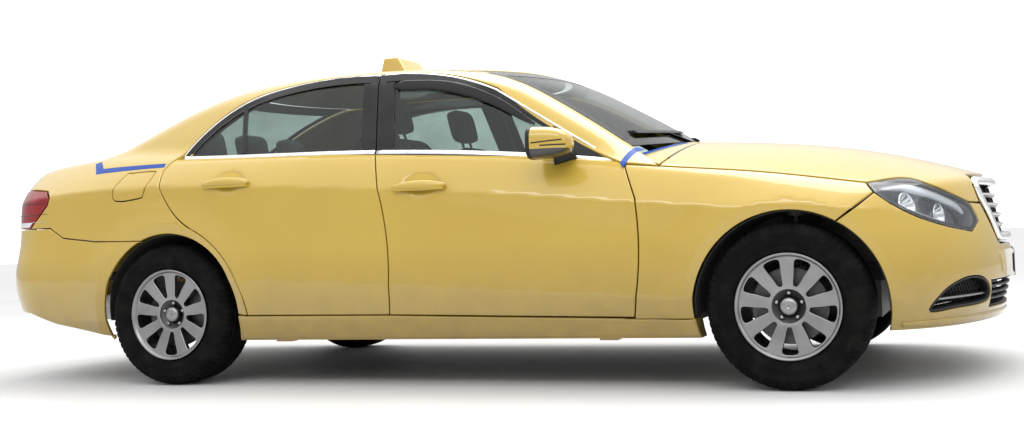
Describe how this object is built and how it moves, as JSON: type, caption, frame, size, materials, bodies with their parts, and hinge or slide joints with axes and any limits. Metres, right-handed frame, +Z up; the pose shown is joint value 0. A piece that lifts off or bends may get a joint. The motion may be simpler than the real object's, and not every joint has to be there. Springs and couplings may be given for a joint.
{
  "type": "taxi cab",
  "caption": "Yellow four-door saloon taxi cab with a blank roof sign, opening doors, bonnet and boot lid, steered front wheels and a full cabin.",
  "frame": {"origin": "on the ground, under the middle of the car", "axes": "+X forward, +Y to the car's left, +Z up"},
  "size_m": [4.8796, 2.07, 1.566],
  "materials": {
    "paint": "gloss",
    "glass": "clear, lightly tinted",
    "lamp_clear": "clear",
    "lamp_red": "gloss",
    "black_plastic": "grained",
    "bright": "polished",
    "tyre": "moulded tread",
    "alloy": "lacquered silver",
    "steel": "satin",
    "iron": "as cast",
    "under": "underseal",
    "seat": "grained",
    "plate": "blank",
    "sign": "blank"
  },
  "bodies": {
    "body": {"pillars": "under", "door_hinges": "steel", "cowl": "black_plastic", "tail_lamps": "lamp_red", "rear_deck": "paint", "quarter_panels": "paint", "rear_bumper": "paint", "front_fenders": "paint", "sills": "paint", "headlamps": "lamp_clear", "front_bumper": "paint", "bumper_grilles": "black_plastic", "grille": "bright", "roof": "paint", "windscreen": "glass", "rear_window": "glass", "floor_pan": "under", "wheel_liners": "black_plastic", "rear_suspension": "steel", "front_suspension": "steel", "front_seats": "seat", "rear_seat": "seat", "dashboard": "black_plastic", "roof_sign": "sign", "wipers": "black_plastic", "front_plate": "plate", "engine": "iron", "exhaust": "steel"},
    "front_door_right": {"door_fr": "paint", "glass_fr": "glass", "mirror_fr": "paint"},
    "rear_door_right": {"door_rr": "paint", "glass_rr": "glass"},
    "knuckle_right": {"knuckle_right": "iron"},
    "front_wheel_right": {"rim_fr": "alloy", "tyre_fr": "tyre"},
    "rear_wheel_right": {"rim_rr": "alloy", "tyre_rr": "tyre"},
    "front_door_left": {"door_fl": "paint", "glass_fl": "glass", "mirror_fl": "paint"},
    "rear_door_left": {"door_rl": "paint", "glass_rl": "glass"},
    "knuckle_left": {"knuckle_left": "iron"},
    "front_wheel_left": {"rim_fl": "alloy", "tyre_fl": "tyre"},
    "rear_wheel_left": {"rim_rl": "alloy", "tyre_rl": "tyre"},
    "bonnet": {"bonnet": "paint"},
    "boot_lid": {"boot_lid": "paint", "lid_lamps": "lamp_red", "rear_plate": "plate"},
    "steering_wheel": {"steering_wheel": "seat"}
  },
  "joints": [
    {"name": "front_door_right_hinge", "type": "hinge", "parent": "body", "child": "front_door_right", "pos_m": [0.936, -0.904, 0.545], "axis": [0, 0, 1], "range_deg": [0, 68]},
    {"name": "rear_door_right_hinge", "type": "hinge", "parent": "body", "child": "rear_door_right", "pos_m": [-0.195, -0.904, 0.545], "axis": [0, 0, 1], "range_deg": [0, 68]},
    {"name": "steer_right", "type": "hinge", "parent": "body", "child": "knuckle_right", "pos_m": [1.6, -0.765, 0.327], "axis": [0, 0, 1], "range_deg": [-36, 36]},
    {"name": "front_wheel_right_spin", "type": "hinge", "parent": "knuckle_right", "child": "front_wheel_right", "pos_m": [1.6, -0.7925, 0.327], "axis": [0, 1, 0], "continuous": true},
    {"name": "rear_wheel_right_spin", "type": "hinge", "parent": "body", "child": "rear_wheel_right", "pos_m": [-1.274, -0.802, 0.327], "axis": [0, 1, 0], "continuous": true},
    {"name": "front_door_left_hinge", "type": "hinge", "parent": "body", "child": "front_door_left", "pos_m": [0.936, 0.904, 0.545], "axis": [0, 0, -1], "range_deg": [0, 68]},
    {"name": "rear_door_left_hinge", "type": "hinge", "parent": "body", "child": "rear_door_left", "pos_m": [-0.195, 0.904, 0.545], "axis": [0, 0, -1], "range_deg": [0, 68]},
    {"name": "steer_left", "type": "hinge", "parent": "body", "child": "knuckle_left", "pos_m": [1.6, 0.765, 0.327], "axis": [0, 0, 1], "range_deg": [-36, 36]},
    {"name": "front_wheel_left_spin", "type": "hinge", "parent": "knuckle_left", "child": "front_wheel_left", "pos_m": [1.6, 0.7925, 0.327], "axis": [0, 1, 0], "continuous": true},
    {"name": "rear_wheel_left_spin", "type": "hinge", "parent": "body", "child": "rear_wheel_left", "pos_m": [-1.274, 0.802, 0.327], "axis": [0, 1, 0], "continuous": true},
    {"name": "bonnet_hinge", "type": "hinge", "parent": "body", "child": "bonnet", "pos_m": [1.02, 0, 0.968], "axis": [0, -1, 0], "range_deg": [0, 45]},
    {"name": "boot_lid_hinge", "type": "hinge", "parent": "body", "child": "boot_lid", "pos_m": [-1.71, 0, 0.985], "axis": [0, 1, 0], "range_deg": [0, 68]},
    {"name": "steering_wheel_turn", "type": "hinge", "parent": "body", "child": "steering_wheel", "pos_m": [0.44, 0.37, 0.88], "axis": [-0.9063, 0, 0.4226], "range_deg": [-506, 506]}
  ],
  "couplings": [
    {"joint": "steer_right", "follows": "steer_left", "ratio": 1},
    {"joint": "steering_wheel_turn", "follows": "steer_left", "ratio": 14}
  ]
}
